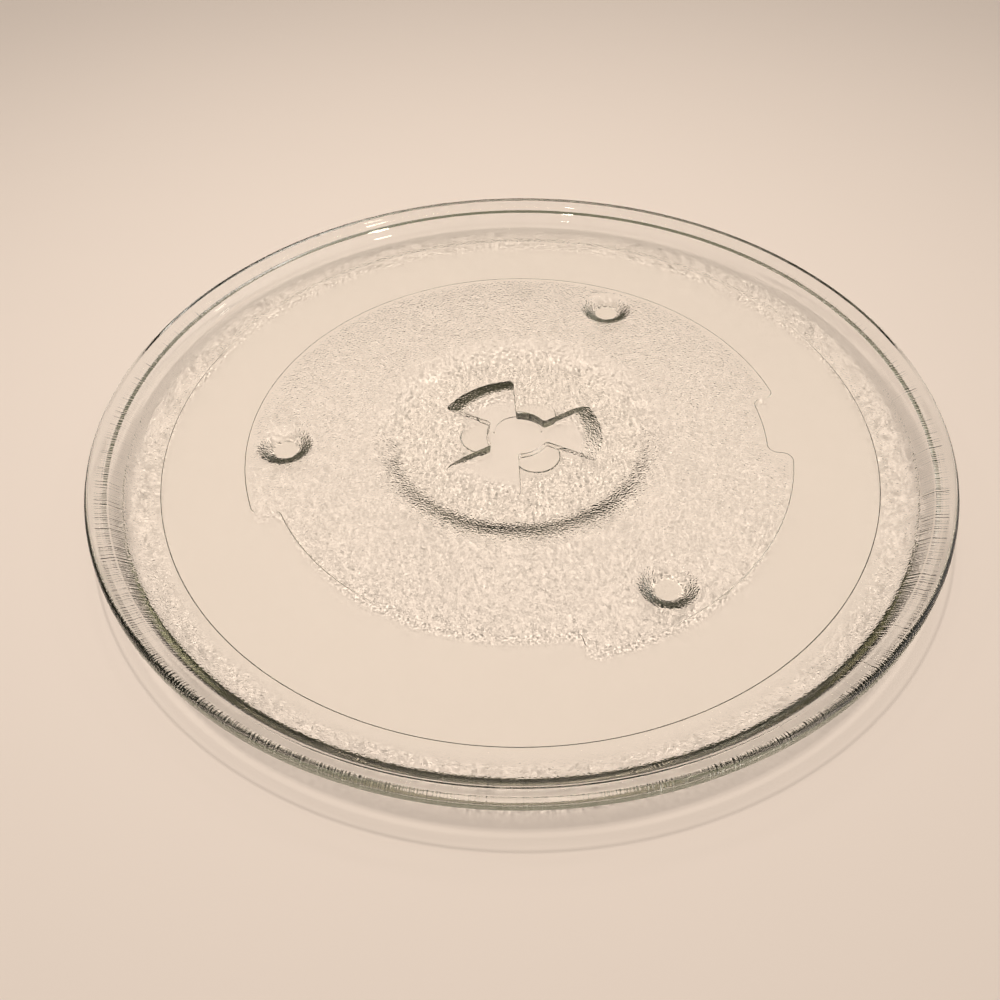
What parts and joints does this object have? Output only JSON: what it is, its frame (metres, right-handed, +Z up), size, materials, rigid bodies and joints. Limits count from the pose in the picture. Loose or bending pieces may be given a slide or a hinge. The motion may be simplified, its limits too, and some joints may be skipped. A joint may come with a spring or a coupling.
{
  "type": "microwave turntable plate",
  "caption": "Round clear pressed-glass turntable plate with a low rim, stippled underside, smooth roller track, standing feet and a lobed coupler socket in its hub.",
  "frame": {"origin": "on the plate's axis, on the surface that its feet stand on", "axes": "+Z up along the axis the plate turns about; +X along the middle of one socket lobe to within a degree"},
  "size_m": [0.245, 0.245, 0.0155],
  "materials": {
    "clear_glass": "clear pressed glass, smooth on top, stippled underneath"
  },
  "bodies": {
    "root": {"turntable_plate": "clear_glass"}
  },
  "joints": []
}
